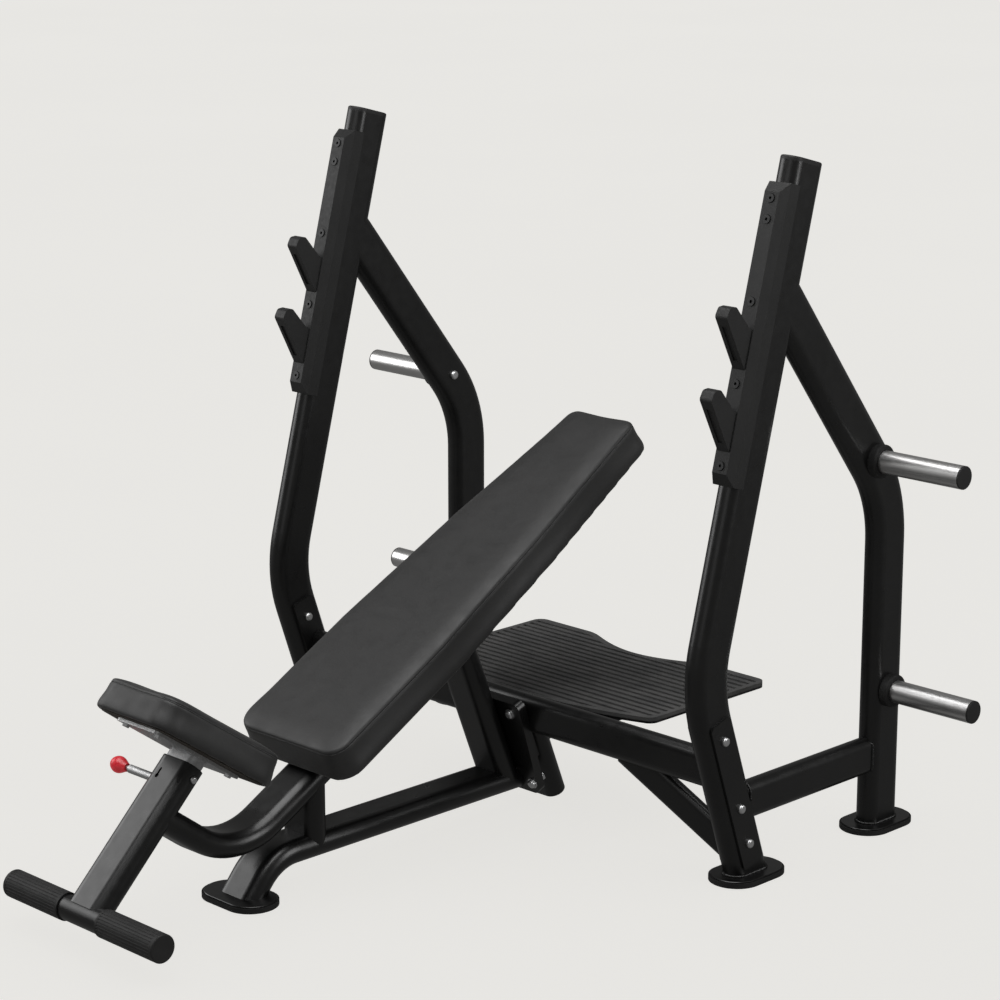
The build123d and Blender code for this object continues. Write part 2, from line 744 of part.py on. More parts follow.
def seat_post_solid():
    return straight_tube(post_start(), POST_TOP, (1, 0, 0), TUBE_LONG, TUBE_SHORT)


def behind_joint():
    """Everything behind the front face of the bench mount plate."""
    plane = joint_plane(TUBE_SHORT / 2)
    return extrude(plane * Rectangle(600.0, 1600.0), -600.0)


def base_tube():
    points = (BASE_TIP, BASE_BEND, BASE_REAR)
    tube = bent_tube(points, BASE_BEND_RADIUS, (1, 0, 0), TUBE_LONG, TUBE_SHORT, TUBE_WALL)
    return (tube & above(FOOT_TOP)) - behind_joint()


def front_post():
    start = (0, FRONT_POST_Y, BASE_Z)
    end = (0, FRONT_POST_Y, 212.0)
    tube = straight_tube(start, end, (1, 0, 0), TUBE_LONG, TUBE_SHORT, TUBE_WALL)
    return tube - base_solid() - support_solid()


def bench_rear_post():
    start = BENCH_POST_LOW
    tube = straight_tube(start, BENCH_POST_HIGH, (1, 0, 0), TUBE_LONG, TUBE_SHORT, TUBE_WALL)
    return (tube & above(BASE_Z)) - base_solid() - support_solid() - behind_joint()


def back_support_tube():
    tube = bent_tube(support_points(), SUPPORT_RADIUS, (1, 0, 0), TUBE_LONG, TUBE_SHORT, TUBE_WALL)
    start, bend, end = support_points()
    run = (Vector(*end) - Vector(*bend)).normalized()
    plane = Plane(origin=Vector(*end), x_dir=(1, 0, 0), z_dir=run)
    cap = extrude(plane * oval(TUBE_LONG, TUBE_SHORT), 5.0)
    return (tube + cap) - seat_post_solid()


# Pads


def back_plane():
    return Plane(origin=Vector(*BACK_ORIGIN), x_dir=(1, 0, 0), z_dir=BACK_NORMAL)


def seat_plane():
    return Plane(origin=Vector(*SEAT_ORIGIN), x_dir=(1, 0, 0), z_dir=SEAT_NORMAL)


def back_outline():
    left = [(-x, y) for x, y in reversed(BACK_OUTLINE)]
    face = make_face(Polyline(*BACK_OUTLINE, *left, close=True))
    face = fillet([v for v in face.vertices() if v.Y < 1.0], 50.0)
    return fillet([v for v in face.vertices() if v.Y > BACK_LENGTH - 1.0], 30.0)


def seat_outline():
    face = make_face(
        Polyline(
            (-SEAT_FRONT_HALF, 0),
            (SEAT_FRONT_HALF, 0),
            (SEAT_REAR_HALF, SEAT_LENGTH),
            (-SEAT_REAR_HALF, SEAT_LENGTH),
            close=True,
        )
    )
    return fillet(face.vertices(), 50.0)


def pad(plane, outline, thickness, board, inset):
    """Cushion with a pocket in its underside for the board."""
    slab = extrude(outline, -thickness)
    top = slab.faces().sort_by(Axis.Z)[-1]
    slab = fillet(top.edges(), PAD_EDGE)
    pocket = extrude(offset(outline, -inset + PAD_FIT), board + PAD_FIT)
    return plane * (slab - Pos(0, 0, -thickness) * pocket)


def board(plane, outline, thickness, depth, inset):
    return plane * Pos(0, 0, -thickness) * extrude(offset(outline, -inset), depth)


def back_pad():
    return pad(back_plane(), back_outline(), BACK_THICK, BACK_BOARD, BACK_INSET)


def back_board():
    panel = board(back_plane(), back_outline(), BACK_THICK, BACK_BOARD, BACK_INSET)
    return panel - back_screw_shanks()


def back_screw_places():
    places = []
    for y, width in BACK_PLATES:
        for side in (-1, 1):
            places.append((side * (width / 2 - 16.0), y))
    return places


def back_screw_shanks():
    shanks = []
    for x, y in back_screw_places():
        place = back_plane() * Pos(x, y, -BACK_THICK - BACK_PLATE)
        shanks.append(rod(place.position, BACK_NORMAL, BACK_PLATE + 10.0, SCREW_R))
    return shanks


def back_cross_plates():
    plates = []
    for y, width in BACK_PLATES:
        blank = extrude(RectangleRounded(width, BACK_PLATE_LENGTH, 8.0), BACK_PLATE)
        plates.append(back_plane() * Pos(0, y, -BACK_THICK - BACK_PLATE) * blank)
    return [plate - back_screw_shanks() for plate in plates]


def back_screws():
    downward = tuple(-Vector(*BACK_NORMAL))
    screws = []
    for (x, y), shank in zip(back_screw_places(), back_screw_shanks()):
        place = back_plane() * Pos(x, y, -BACK_THICK - BACK_PLATE)
        screws.append(shank + hex_head(place.position, downward, 13.0, SCREW_HEAD))
    return screws


def seat_pad():
    return pad(seat_plane(), seat_outline(), SEAT_THICK, SEAT_BOARD, BACK_INSET)


def seat_board():
    panel = board(seat_plane(), seat_outline(), SEAT_THICK, SEAT_BOARD, BACK_INSET)
    return panel - seat_screw_shanks()


def seat_screw_places():
    return [(side * SEAT_SCREWS_X, y) for side in (-1, 1) for y in SEAT_SCREWS_ALONG]


def seat_screw_shanks():
    shanks = []
    for x, y in seat_screw_places():
        place = seat_plane() * Pos(x, y, -SEAT_THICK - SEAT_PLATE)
        shanks.append(rod(place.position, SEAT_NORMAL, SEAT_PLATE + 8.0, SCREW_R))
    return shanks


def seat_plate():
    """Zinc-plated plate under the seat board, welded to the inner post."""
    blank = extrude(RectangleRounded(SEAT_PLATE_WIDTH, SEAT_PLATE_LENGTH, 12.0), SEAT_PLATE)
    plate = seat_plane() * Pos(0, SEAT_PLATE_CENTRE, -SEAT_THICK - SEAT_PLATE) * blank
    return plate - seat_screw_shanks()


def seat_screws():
    downward = tuple(-Vector(*SEAT_NORMAL))
    screws = []
    for (x, y), shank in zip(seat_screw_places(), seat_screw_shanks()):
        place = seat_plane() * Pos(x, y, -SEAT_THICK - SEAT_PLATE)
        screws.append(shank + hex_head(place.position, downward, 13.0, SCREW_HEAD))
    return screws


# Seat post and pull pin


def pin_point(x):
    """Point on the pull pin's centre line."""
    centre = along(POST_TOP, POST_AXIS, -HOLE_DROP)
    return x, centre.Y, centre.Z


def set_screw_point(x):
    centre = along(POST_TOP, POST_AXIS, -SET_SCREW_DROP)
    return x, centre.Y, centre.Z


def bar_solid():
    return rod((-GRIP_END, POST_FOOT.Y, POST_FOOT.Z), (1, 0, 0), 2 * GRIP_END, BAR_R)


def seat_post_tube():
    """Outer seat post with the pin's hole in its left side and a sight slot in its front."""
    tube = straight_tube(post_start(), POST_TOP, (1, 0, 0), TUBE_LONG, TUBE_SHORT, TUBE_WALL)
    tube -= bar_solid()
    tube -= rod(pin_point(-60.0), (1, 0, 0), 30.0, PIN_R + PIN_RUNNING)
    tube -= rod(set_screw_point(30.0), (1, 0, 0), 40.0, SCREW_R + BOLT_CLEAR)
    plane = Plane(origin=along(POST_TOP, POST_AXIS, -HOLE_DROP), x_dir=(1, 0, 0), z_dir=POST_AXIS)
    front = Plane(origin=plane.origin, x_dir=POST_AXIS, z_dir=-plane.y_dir)
    slot = Pos(8.0, 18.0, 0) * SlotOverall(20.0, 5.0) + Pos(0, 18.0, 0) * Circle(4.5)
    return tube - extrude(front * slot, 40.0)


def seat_post_bushing():
    """Plastic liner that the inner post slides in, with a lip on the tube's end."""
    outer_long = TUBE_LONG - 2 * TUBE_WALL
    outer_short = TUBE_SHORT - 2 * TUBE_WALL
    top = Plane(origin=Vector(*POST_TOP), x_dir=(1, 0, 0), z_dir=POST_AXIS)
    sleeve = extrude(top * oval(outer_long, outer_short), -BUSHING_LENGTH)
    sleeve += extrude(top * oval(TUBE_LONG, TUBE_SHORT), BUSHING_LIP)
    bore = oval(outer_long - 2 * BUSHING_WALL, outer_short - 2 * BUSHING_WALL)
    sleeve -= extrude(top.offset(-BUSHING_LENGTH) * bore, BUSHING_LENGTH + BUSHING_LIP)
    sleeve -= rod(pin_point(-60.0), (1, 0, 0), 30.0, PIN_R + PIN_RUNNING)
    return sleeve - rod(set_screw_point(30.0), (1, 0, 0), 40.0, SCREW_R + BOLT_CLEAR)


def inner_long():
    return TUBE_LONG - 2 * (TUBE_WALL + BUSHING_WALL + SLIDE_CLEARANCE)


def inner_short():
    return TUBE_SHORT - 2 * (TUBE_WALL + BUSHING_WALL + SLIDE_CLEARANCE)


def seat_inner_post():
    """Plated post that carries the seat, with a row of holes for the pull pin."""
    start = post_axis_point(-INNER_LENGTH)
    end = post_axis_point(80.0)
    post = straight_tube(start, end, (1, 0, 0), inner_long(), inner_short(), TUBE_WALL)
    for index in range(HOLE_COUNT):
        centre = along(POST_TOP, POST_AXIS, -HOLE_DROP - HOLE_PITCH * index)
        post -= rod((-60.0, centre.Y, centre.Z), (1, 0, 0), 30.0, PIN_HOLE_R)
    underside = seat_plane() * Pos(0, 0, -SEAT_THICK - SEAT_PLATE)
    return post - underside * Pos(0, 0, 100.0) * Box(600, 1200, 200)


def set_screw():
    """Screw in the right side of the tube that takes up the liner's play."""
    tip = inner_long() / 2 + 0.4
    outside = TUBE_LONG / 2
    screw = rod(set_screw_point(tip), (1, 0, 0), outside - tip, SCREW_R)
    return screw + dome_head(set_screw_point(outside), (1, 0, 0), 7.5, 6.0)


def pin_barrel():
    """Barrel on the left of the tube that guides the plunger and holds its spring."""
    barrel = rod(pin_point(BARREL_END_X), (1, 0, 0), -BARREL_END_X - 40.0, BARREL_R)
    barrel -= rod(pin_point(BARREL_END_X), (1, 0, 0), -BARREL_END_X - 40.0, PIN_R + PIN_RUNNING)
    barrel -= rod(pin_point(CHAMBER_FAR_X), (1, 0, 0), CHAMBER_NEAR_X - CHAMBER_FAR_X, CHAMBER_R)
    return barrel - seat_post_solid()


def pin_plunger():
    """Plunger with the flange that its spring pushes on, drawn pulled out and clear of the post."""
    body = rod(pin_point(PIN_END_X), (1, 0, 0), PIN_TIP_X - PIN_END_X, PIN_R)
    body = chamfer(body.faces().sort_by(Axis.X)[-1].edges(), 1.0)
    return body + rod(pin_point(FLANGE_X), (1, 0, 0), FLANGE_LENGTH, FLANGE_R)


def pin_spring():
    """Compression spring between the plunger's flange and the barrel's outer end."""
    length = FLANGE_X - CHAMBER_FAR_X - 2 * SPRING_WIRE_R - 0.4
    coil = Helix(pitch=length / SPRING_TURNS, height=length, radius=SPRING_R)
    section = Plane(origin=coil @ 0, z_dir=coil % 0) * Circle(SPRING_WIRE_R)
    wire = sweep(section, path=coil)
    start = pin_point(CHAMBER_FAR_X + SPRING_WIRE_R + 0.2)
    return Plane(origin=start, x_dir=(0, 1, 0), z_dir=(1, 0, 0)) * wire


def pin_knob():
    """Ball-shaped pull knob with a slim neck."""
    profile = make_face(
        [
            Line((KNOB_NECK_X, 0), (KNOB_END_X, 0)),
            Spline(
                (KNOB_END_X, 0),
                (KNOB_END_X + 9.0, KNOB_R - 3.0),
                (KNOB_END_X + 20.0, KNOB_R),
                (KNOB_END_X + 34.0, KNOB_NECK_R + 4.5),
                (KNOB_NECK_X, KNOB_NECK_R),
                tangents=((0, 1), (1, -0.35)),
            ),
            Line((KNOB_NECK_X, KNOB_NECK_R), (KNOB_NECK_X, 0)),
        ]
    )
    knob = revolve(profile, Axis.X)
    _, y, z = pin_point(0.0)
    return Pos(0, y, z) * knob - rod(pin_point(PIN_END_X), (1, 0, 0), 60.0, PIN_R)


# Foot bar


def foot_bar():
    length = 2 * (GRIP_END - GRIP_CLOSED)
    start = (-length / 2, POST_FOOT.Y, POST_FOOT.Z)
    return rod(start, (1, 0, 0), length, BAR_R) - rod(start, (1, 0, 0), length, BAR_R - TUBE_WALL)


def foot_grip():
    """Fluted rubber grip, closed at its outer end."""
    start = (GRIP_START, POST_FOOT.Y, POST_FOOT.Z)
    length = GRIP_END - GRIP_START
    grip = rod(start, (1, 0, 0), length, GRIP_R)
    grip = fillet(grip.faces().sort_by(Axis.X)[-1].edges(), 2.5)
    grip -= rod(start, (1, 0, 0), length - GRIP_CLOSED, BAR_R)
    centre = Pos(0, POST_FOOT.Y, POST_FOOT.Z)
    flutes = []
    for index in range(FLUTES):
        turn = Rot(360.0 * index / FLUTES, 0, 0)
        middle = Pos((GRIP_START + GRIP_END) / 2 - 2.0, 0, GRIP_R + 0.4)
        flutes.append(centre * turn * middle * Rot(0, 90, 0) * Cylinder(FLUTE_R, length - 14.0))
    return grip - flutes


def save(name, shapes):
    """Write one node; a list becomes one node of several loose solids."""
    if isinstance(shapes, list):
        shape = Compound(children=[solid for item in shapes for solid in item.solids()])
    else:
        shape = shapes
    export_step(Pos(0, ORIGIN_SHIFT, 0) * shape, f"parts/{name}.step")


def save_pair(name, shapes):
    """Write the right-hand node and its mirror image on the left."""
    items = shapes if isinstance(shapes, list) else [shapes]
    save(f"right_{name}", items)
    save(f"left_{name}", [mirror(item, about=Plane.YZ) for item in items])


os.makedirs("parts", exist_ok=True)

save_pair("upright", upright())
save_pair("hook_guard", hook_guard())
save_pair("bar_hooks", bar_hooks())
save_pair("rear_post", rear_post())
save_pair("side_tube", side_tube())
save_pair("foot_plates", side_foot_plates())
save_pair("foot_rubbers", side_foot_rubbers())
save_pair("brace", brace())
save_pair("lower_horn", horn(*HORN_CENTRES[0]))
save_pair("upper_horn", horn(*HORN_CENTRES[1]))

save("upright_caps", both_sides([upright_cap()]))
save("clamp_plates", both_sides(clamp_plates()))
save("guard_bolts", both_sides(guard_bolts()))
save("clamp_bolts", both_sides(clamp_bolts()))
save("horn_collars", both_sides([horn_collar(y, z) for y, z in HORN_CENTRES]))
save("horn_caps", both_sides([horn_cap(y, z) for y, z in HORN_CENTRES]))
save("horn_bolts", both_sides([horn_bolt(y, z) for y, z in HORN_CENTRES]))

save("crossbeam", crossbeam())
save("beam_mount", beam_mount())
save("bench_mount_plate", bench_mount_plate())
save("mount_bolts", mount_bolts())
save("centre_leg", centre_leg())
save("platform_plate", platform_plate())
save("platform_mat", platform_mat())
save("platform_arms", platform_arms())
save("centre_strut", centre_strut())

save("base_tube", base_tube())
save("base_foot_plate", foot_plate(0.0, BASE_FOOT_Y, False))
save("base_foot_rubber", foot_rubber(0.0, BASE_FOOT_Y, False))
save("front_post", front_post())
save("bench_rear_post", bench_rear_post())
save("back_support_tube", back_support_tube())
save("back_cross_plates", back_cross_plates())
save("back_screws", back_screws())
save("back_board", back_board())
save("back_pad", back_pad())

save("seat_post_tube", seat_post_tube())
save("seat_post_bushing", seat_post_bushing())
save("set_screw", set_screw())
save("pin_barrel", pin_barrel())
save("pin_spring", pin_spring())
save("foot_bar", foot_bar())
save("foot_grips", both_sides([foot_grip()]))

save("seat_inner_post", seat_inner_post())
save("seat_plate", seat_plate())
save("seat_screws", seat_screws())
save("seat_board", seat_board())
save("seat_pad", seat_pad())

save("pin_plunger", pin_plunger())
save("pin_knob", pin_knob())
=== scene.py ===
import math

import bmesh
import bpy
import numpy as np
from mathutils import Matrix, Vector
from mathutils.bvhtree import BVHTree


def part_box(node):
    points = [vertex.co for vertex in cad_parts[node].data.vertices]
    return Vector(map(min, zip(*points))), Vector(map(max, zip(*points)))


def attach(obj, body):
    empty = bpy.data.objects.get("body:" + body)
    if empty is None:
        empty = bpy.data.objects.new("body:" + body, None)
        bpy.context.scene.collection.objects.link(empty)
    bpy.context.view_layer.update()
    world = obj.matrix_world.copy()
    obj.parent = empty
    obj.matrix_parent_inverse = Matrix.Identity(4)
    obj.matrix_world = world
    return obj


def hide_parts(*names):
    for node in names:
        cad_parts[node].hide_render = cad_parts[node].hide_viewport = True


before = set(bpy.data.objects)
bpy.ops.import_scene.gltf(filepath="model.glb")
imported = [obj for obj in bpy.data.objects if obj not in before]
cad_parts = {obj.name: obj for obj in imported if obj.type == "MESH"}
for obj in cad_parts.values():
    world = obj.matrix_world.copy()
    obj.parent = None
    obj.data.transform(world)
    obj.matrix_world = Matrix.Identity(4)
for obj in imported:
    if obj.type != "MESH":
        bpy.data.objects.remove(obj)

MM = 0.001
MERGE_GAP = 0.01 * MM
NEARLY_ZERO = 1e-4

# Camera, at the photograph's angle.
CAMERA_PLACE = (4.09335, -3.81741, 2.12017)
CAMERA_AZIMUTH = 45.068
CAMERA_ELEVATION = 13.936
CAMERA_LENS = 102.57
SENSOR_WIDTH = 36.0
CLIP_NEAR = 0.1
CLIP_FAR = 200.0

# Studio. Each light has a name, a place, the two sides of its panel, and its power in watts.
FLOOR_HALF = 60.0
FLOOR_COLOUR = (0.812, 0.802, 0.775)
FLOOR_GLOW = 0.90
WORLD_COLOUR = (0.84, 0.835, 0.82, 1)
WORLD_STRENGTH = 0.2
LIGHT_AIM = (0, 0, 0.6)
LIGHTS = (
    ("overhead_softbox", (0.2, -0.9, 4.2), (4.0, 4.0), 215),
    ("left_softbox", (-4.6, -2.2, 2.4), (3.4, 3.4), 110),
    ("right_softbox", (4.8, 2.4, 2.6), (1.6, 3.2), 95),
    ("front_fill", (2.4, -5.2, 2.6), (3.0, 2.0), 14),
)

# Pads: each one's top faces along its normal, and its heights are measured along that.
BACK_NORMAL = Vector((0.0, -0.4886, 0.8725)).normalized()
SEAT_NORMAL = Vector((0.0, 0.581, 0.814)).normalized()
BACK_BOARD_DEPTH = 14 * MM
SEAT_BOARD_DEPTH = 12 * MM
COVER_VOXEL = 5 * MM
COVER_SHRINK = 3.5 * MM
COVER_CAP = 6 * MM
COVER_FADE = 20 * MM
COVER_GRIP = 5 * MM
COVER_PRESSURE = 4.0
COVER_FRAMES = 20
COVER_SMOOTHING = 10
FOAM_EVENING = 40
SEAM_DROP = 13 * MM
SEAM_RADIUS = 1.0 * MM
SEAM_STEP = 4 * MM
SEAM_GUTTER = 4 * MM
SEAM_DEPTH = 1.3 * MM
SEAM_PROUD = 0.1 * MM
SEAM_SIDES = 6
SEAM_EVENING = 3
SEAM_RIPPLE = 0.12
SEAM_WAVES = 1.4

# Weld beads.
WELD_RADIUS = 3.4 * MM
WELD_RIPPLE = 0.16
WELD_PITCH = 3.6 * MM
WELD_STEP = 1.1 * MM
WELD_SIDES = 8
FOOT_WELD_LIFT = 1 * MM
FRONT_WELD_INSET = 6 * MM
REAR_WELD_INSET = 3 * MM

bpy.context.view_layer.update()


# --- node materials -------------------------------------------------------------------


class Finish:
    """A principled material under construction, with its textures in the piece's own metres."""

    def __init__(self, name, colour, roughness, metallic=0.0, specular=0.5):
        self.material = bpy.data.materials.new(name)
        self.material.use_nodes = True
        self.tree = self.material.node_tree
        self.shader = self.tree.nodes["Principled BSDF"]
        self.shader.inputs["Base Color"].default_value = (*colour, 1.0)
        self.shader.inputs["Roughness"].default_value = roughness
        self.shader.inputs["Metallic"].default_value = metallic
        self.shader.inputs["Specular IOR Level"].default_value = specular
        self.place = self.add("ShaderNodeTexCoord").outputs["Object"]
        self.normal = None

    def add(self, kind, **settings):
        node = self.tree.nodes.new(kind)
        for name, value in settings.items():
            setattr(node, name, value)
        return node

    def join(self, source, target):
        self.tree.links.new(source, target)

    def stretched(self, scale):
        """The piece's coordinates multiplied by a scale along each axis."""
        mapping = self.add("ShaderNodeMapping")
        mapping.inputs["Scale"].default_value = scale
        self.join(self.place, mapping.inputs["Vector"])
        return mapping.outputs["Vector"]

    def noise(self, scale, detail=4.0, rough=0.55, place=None):
        """Cloudy noise from 0 to 1, scale in features per metre."""
        node = self.add("ShaderNodeTexNoise")
        node.inputs["Scale"].default_value = scale
        node.inputs["Detail"].default_value = detail
        node.inputs["Roughness"].default_value = rough
        self.join(place or self.place, node.inputs["Vector"])
        return node.outputs["Fac"]

    def cells(self, scale, feature="F1"):
        """Distance to the nearest of scattered cells, scale in cells per metre."""
        node = self.add("ShaderNodeTexVoronoi", feature=feature)
        node.inputs["Scale"].default_value = scale
        self.join(self.place, node.inputs["Vector"])
        return node.outputs["Distance"]

    def spread(self, value, low, high, out_low, out_high):
        """The value's range from low to high turned into out_low to out_high."""
        node = self.add("ShaderNodeMapRange")
        node.inputs["From Min"].default_value = low
        node.inputs["From Max"].default_value = high
        node.inputs["To Min"].default_value = out_low
        node.inputs["To Max"].default_value = out_high
        self.join(value, node.inputs["Value"])
        return node.outputs["Result"]

    def tint(self, value, *stops):
        """A colour ramp over the value: (position, colour) pairs."""
        ramp = self.add("ShaderNodeValToRGB")
        elements = ramp.color_ramp.elements
        while len(elements) < len(stops):
            elements.new(0.5)
        for element, (position, colour) in zip(elements, stops):
            element.position = position
            element.color = (*colour, 1.0)
        self.join(value, ramp.inputs["Fac"])
        return ramp.outputs["Color"]

    def mixed(self, share, first, second):
        """Two colours mixed by a share from 0 to 1."""
        node = self.add("ShaderNodeMix", data_type="RGBA")
        self.join(share, node.inputs["Factor"])
        self.join(first, node.inputs["A"])
        self.join(second, node.inputs["B"])
        return node.outputs["Result"]

    def colour(self, value):
        self.join(value, self.shader.inputs["Base Color"])

    def roughness(self, value):
        self.join(value, self.shader.inputs["Roughness"])

    def bump(self, height, depth, strength=1.0):
        """Relief: depth is in metres for a height of 1. Several calls build on each other."""
        node = self.add("ShaderNodeBump")
        node.inputs["Distance"].default_value = depth
        node.inputs["Strength"].default_value = strength
        self.join(height, node.inputs["Height"])
        if self.normal is not None:
            self.join(self.normal, node.inputs["Normal"])
        self.normal = node.outputs["Normal"]
        self.join(self.normal, self.shader.inputs["Normal"])


def grey(level, warmth=0.0):
    """A near-neutral colour."""
    return (level * (1 + warmth), level, level * (1 - warmth))


def powder_coat():
    """Semi-gloss black powder coat: fine orange peel, faint dust and slow changes of tone."""
    coat = Finish("powder_coat", grey(0.0025), 0.30, specular=0.5)
    peel = coat.noise(900, detail=2.0)
    cloud = coat.noise(7, detail=5.0)
    dust = coat.noise(260, detail=6.0, rough=0.7)
    base = coat.tint(cloud, (0.35, grey(0.0018)), (0.70, grey(0.0028, 0.01)))
    dusty = coat.tint(cloud, (0.35, grey(0.0040)), (0.70, grey(0.0060, 0.02)))
    coat.colour(coat.mixed(coat.spread(dust, 0.56, 0.80, 0.0, 0.7), base, dusty))
    coat.roughness(coat.spread(coat.noise(45, detail=6.0), 0.3, 0.7, 0.27, 0.34))
    coat.bump(peel, 0.05 * MM, 0.4)
    return coat.material


def moulded_plastic(name, level, rough, grain):
    """Spark-eroded mould grain with slight scuffs."""
    plastic = Finish(name, grey(level), rough, specular=0.3)
    scuffs = plastic.noise(1.0, detail=7.0, rough=0.65, place=plastic.stretched((60, 60, 14)))
    worn = plastic.spread(scuffs, 0.58, 0.78, 0.0, 0.55)
    dark = plastic.tint(plastic.noise(12), (0.3, grey(level * 0.85)), (0.7, grey(level * 1.15)))
    light = plastic.tint(plastic.noise(40), (0.3, grey(level * 1.5)), (0.7, grey(level * 1.9)))
    plastic.colour(plastic.mixed(worn, dark, light))
    patches = plastic.noise(120, detail=5.0)
    plastic.roughness(plastic.spread(patches, 0.3, 0.7, rough - 0.08, rough + 0.07))
    plastic.bump(plastic.cells(grain, "SMOOTH_F1"), 0.14 * MM, 0.55)
    plastic.bump(plastic.noise(grain * 1.8, detail=2.0), 0.06 * MM, 0.5)
    return plastic.material


def rubber(name, level, rough, grain=1500):
    """Matte rubber with bloom and dust held in its grain."""
    body = Finish(name, grey(level), rough, specular=0.25)
    cloud = body.noise(16, detail=6.0)
    bloom = body.tint(cloud, (0.3, grey(level * 0.8)), (0.75, grey(level * 1.4, 0.02)))
    tone = body.noise(70)
    dust = body.tint(tone, (0.3, grey(level * 1.8, 0.03)), (0.8, grey(level * 2.4, 0.04)))
    specks = body.noise(520, detail=6.0, rough=0.75)
    body.colour(body.mixed(body.spread(specks, 0.55, 0.8, 0.0, 0.6), bloom, dust))
    body.roughness(body.spread(body.noise(200), 0.3, 0.7, rough - 0.06, min(rough + 0.10, 1.0)))
    body.bump(body.noise(grain, detail=3.0), 0.16 * MM, 0.6)
    return body.material


def turned_steel():
    """Plated bar with fine turning marks round it, light smears and faint scratches along it."""
    steel = Finish("turned_steel", grey(0.62), 0.3, metallic=1.0)
    turning = steel.noise(1.0, detail=3.0, rough=0.6, place=steel.stretched((5200, 60, 60)))
    scratches = steel.noise(1.0, detail=4.0, rough=0.7, place=steel.stretched((9, 1100, 1100)))
    smear = steel.noise(22, detail=5.0)
    bright = steel.tint(smear, (0.3, grey(0.58, 0.012)), (0.7, grey(0.66, 0.006)))
    dull = steel.tint(turning, (0.3, grey(0.50, 0.015)), (0.7, grey(0.56, 0.015)))
    steel.colour(steel.mixed(steel.spread(scratches, 0.62, 0.80, 0.0, 0.5), bright, dull))
    steel.roughness(steel.spread(turning, 0.25, 0.75, 0.27, 0.38))
    steel.bump(turning, 0.012 * MM, 0.4)
    return steel.material


def plated(name, level, rough, spangle):
    """Plated steel: crystal spangle in tone and gloss over a faintly rolled surface."""
    zinc = Finish(name, grey(level), rough, metallic=1.0)
    crystal = zinc.cells(spangle)
    cloud = zinc.noise(60, detail=5.0)
    pale = zinc.tint(crystal, (0.1, grey(level * 1.08, 0.006)), (0.7, grey(level * 0.9, -0.01)))
    dim = zinc.tint(cloud, (0.3, grey(level * 0.72, 0.01)), (0.7, grey(level * 0.85)))
    zinc.colour(zinc.mixed(zinc.spread(cloud, 0.5, 0.75, 0.0, 0.6), pale, dim))
    zinc.roughness(zinc.spread(crystal, 0.0, 0.8, rough - 0.06, rough + 0.12))
    zinc.bump(zinc.noise(900, detail=3.0), 0.05 * MM, 0.4)
    return zinc.material


def stained_ply():
    """Black-stained birch ply: open grain, thin stain on the raised fibres and layered edges."""
    ply = Finish("stained_ply", grey(0.014), 0.68, specular=0.25)
    grain = ply.noise(1.0, detail=8.0, rough=0.6, place=ply.stretched((130, 9, 9)))
    layers = ply.noise(1.0, detail=1.0, place=ply.stretched((3, 260, 260)))
    face = ply.tint(grain, (0.30, (0.008, 0.007, 0.006)), (0.70, (0.022, 0.019, 0.016)))
    edge = ply.tint(layers, (0.40, (0.007, 0.006, 0.005)), (0.60, (0.030, 0.024, 0.018)))
    ply.colour(ply.mixed(ply.spread(layers, 0.35, 0.65, 0.1, 0.6), face, edge))
    ply.roughness(ply.spread(grain, 0.3, 0.7, 0.60, 0.80))
    ply.bump(grain, 0.15 * MM, 0.7)
    return ply.material


def vinyl():
    """Coated upholstery fabric: shallow pebble grain, a soft sheen and slight stretch tone."""
    skin = Finish("upholstery_vinyl", grey(0.012), 0.50, specular=0.35)
    pebble = skin.cells(620, "SMOOTH_F1")
    crease = skin.noise(1400, detail=4.0)
    cloud = skin.noise(5, detail=5.0)
    base = skin.tint(cloud, (0.3, grey(0.0105)), (0.7, grey(0.0135, 0.01)))
    worn = skin.tint(skin.noise(90), (0.3, grey(0.018, 0.01)), (0.7, grey(0.024, 0.015)))
    skin.colour(skin.mixed(skin.spread(pebble, 0.15, 0.75, 0.30, 0.0), base, worn))
    skin.roughness(skin.spread(skin.noise(30, detail=6.0), 0.3, 0.7, 0.44, 0.56))
    skin.bump(pebble, 0.22 * MM, 0.6)
    skin.bump(crease, 0.08 * MM, 0.5)
    skin.shader.inputs["Sheen Weight"].default_value = 0.05
    skin.shader.inputs["Sheen Roughness"].default_value = 0.4
    return skin.material


def thread():
    """Twisted bonded thread along a seam."""
    cord = Finish("seam_thread", grey(0.02), 0.6)
    twist = cord.noise(1.0, detail=2.0, place=cord.stretched((700, 900, 900)))
    cord.colour(cord.tint(twist, (0.35, grey(0.010)), (0.65, grey(0.032))))
    cord.roughness(cord.spread(twist, 0.3, 0.7, 0.5, 0.72))
    cord.bump(twist, 0.3 * MM, 0.8)
    return cord.material


def red_plastic():
    """Moulded red knob: slight flow marks, soft gloss and handling dirt."""
    knob = Finish("red_knob", (0.62, 0.02, 0.03), 0.32)
    flow = knob.noise(70, detail=6.0)
    clean = knob.tint(flow, (0.3, (0.56, 0.012, 0.022)), (0.7, (0.70, 0.030, 0.045)))
    grime = knob.tint(flow, (0.3, (0.30, 0.010, 0.014)), (0.7, (0.40, 0.020, 0.026)))
    specks = knob.noise(420, detail=6.0)
    knob.colour(knob.mixed(knob.spread(specks, 0.60, 0.80, 0.0, 0.7), clean, grime))
    knob.roughness(knob.spread(knob.noise(180), 0.3, 0.7, 0.24, 0.40))
    knob.bump(knob.noise(1300), 0.05 * MM, 0.4)
    return knob.material


